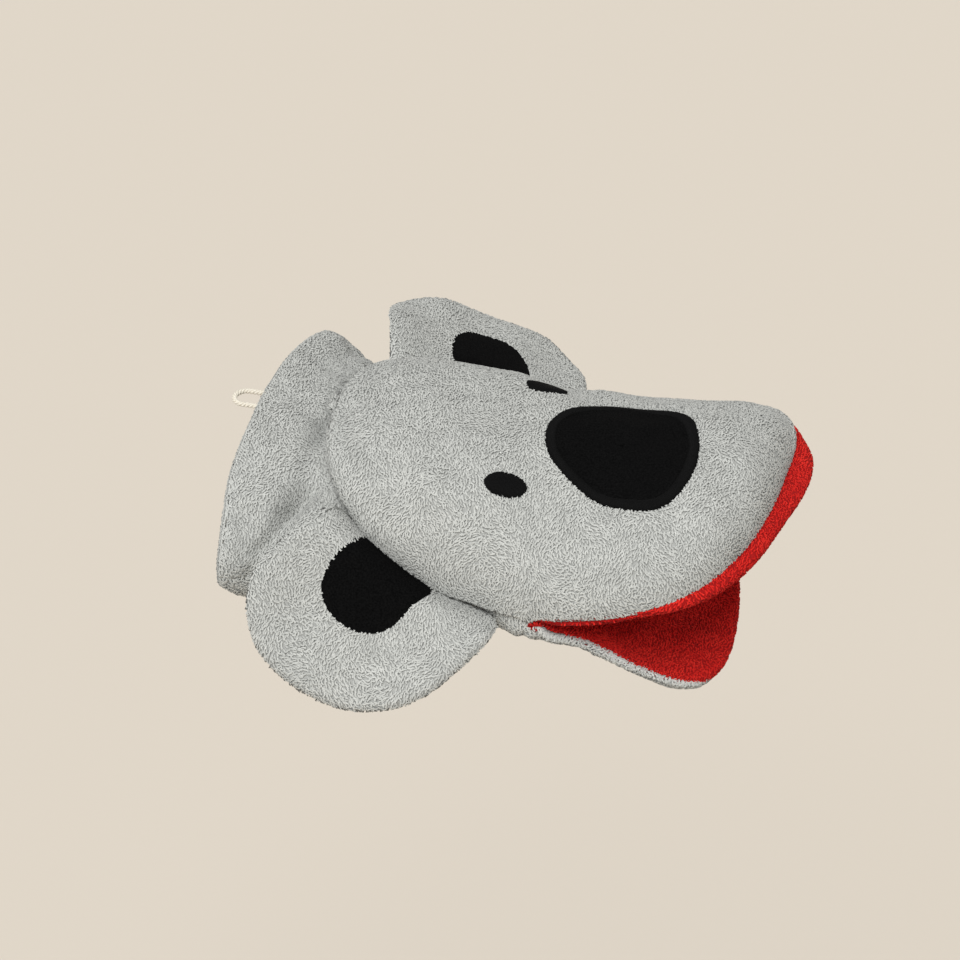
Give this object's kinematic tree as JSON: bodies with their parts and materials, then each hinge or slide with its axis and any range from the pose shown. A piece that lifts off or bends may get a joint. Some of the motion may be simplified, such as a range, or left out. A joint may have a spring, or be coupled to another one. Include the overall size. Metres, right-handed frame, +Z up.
{
  "type": "hand puppet",
  "caption": "Terry-cloth hand puppet shaped as a koala's head, with an open sleeve, a hinged mouth with a red lining, flapping ears and a cord hanging loop at the cuff.",
  "frame": {"origin": "centre of the cuff's open rim, where the hand goes in", "axes": "+X from the cuff to the snout, +Y to the puppet's left, +Z up through the crown of the head"},
  "size_m": [0.2202, 0.2244, 0.0905],
  "materials": {
    "grey_terry": "looped melange towelling",
    "red_terry": "short looped towelling",
    "black_velour": "short cut pile",
    "black_thread": "satin stitch",
    "grey_thread": "tight stitching",
    "cotton_cord": "twisted cotton"
  },
  "bodies": {
    "sleeve": {"sleeve_back_panel": "grey_terry", "sleeve_palm_panel": "grey_terry", "sleeve_left_seam": "grey_terry", "sleeve_right_seam": "grey_terry", "cuff_hem": "grey_terry", "loop_tack": "grey_thread", "wrist_crease": "grey_terry"},
    "hanging_loop": {"hanging_loop": "cotton_cord"},
    "head": {"face_panel": "grey_terry", "throat_panel": "grey_terry", "palate_lining": "red_terry", "nose_border": "black_thread", "nose_patch": "black_velour", "left_eye": "black_velour", "right_eye": "black_velour", "mouth_fold": "red_terry", "jaw_crease": "grey_terry"},
    "lower_jaw": {"chin_panel": "grey_terry", "lower_mouth_lining": "red_terry"},
    "left_ear": {"left_ear_front": "grey_terry", "left_ear_back": "grey_terry", "left_ear_patch": "black_velour"},
    "right_ear": {"right_ear_front": "grey_terry", "right_ear_back": "grey_terry", "right_ear_patch": "black_velour"}
  },
  "joints": [
    {"name": "head_nod", "type": "hinge", "parent": "sleeve", "child": "head", "pos_m": [0.047, 0, 0], "axis": [0, 1, 0], "range_deg": [-6, 10], "deforming": ["wrist_crease"]},
    {"name": "jaw_open", "type": "hinge", "parent": "head", "child": "lower_jaw", "pos_m": [0.121, 0, -0.008], "axis": [0, 1, 0], "range_deg": [-26, 18], "deforming": ["jaw_crease", "mouth_fold"]},
    {"name": "left_ear_flap", "type": "hinge", "parent": "head", "child": "left_ear", "pos_m": [0.043, 0.047, 0.0215], "axis": [0.8824, 0.2482, -0.3998], "range_deg": [-20, 35], "stiffness_Nm_per_rad": 0.03, "springref_deg": 5.73},
    {"name": "right_ear_flap", "type": "hinge", "parent": "head", "child": "right_ear", "pos_m": [0.043, -0.047, 0.0215], "axis": [-0.8824, 0.2482, 0.3998], "range_deg": [0, 50], "stiffness_Nm_per_rad": 0.03},
    {"name": "loop_swing", "type": "hinge", "parent": "sleeve", "child": "hanging_loop", "pos_m": [0, 0, 0.0285], "axis": [0, 1, 0], "range_deg": [-30, 40], "stiffness_Nm_per_rad": 0.0005}
  ]
}
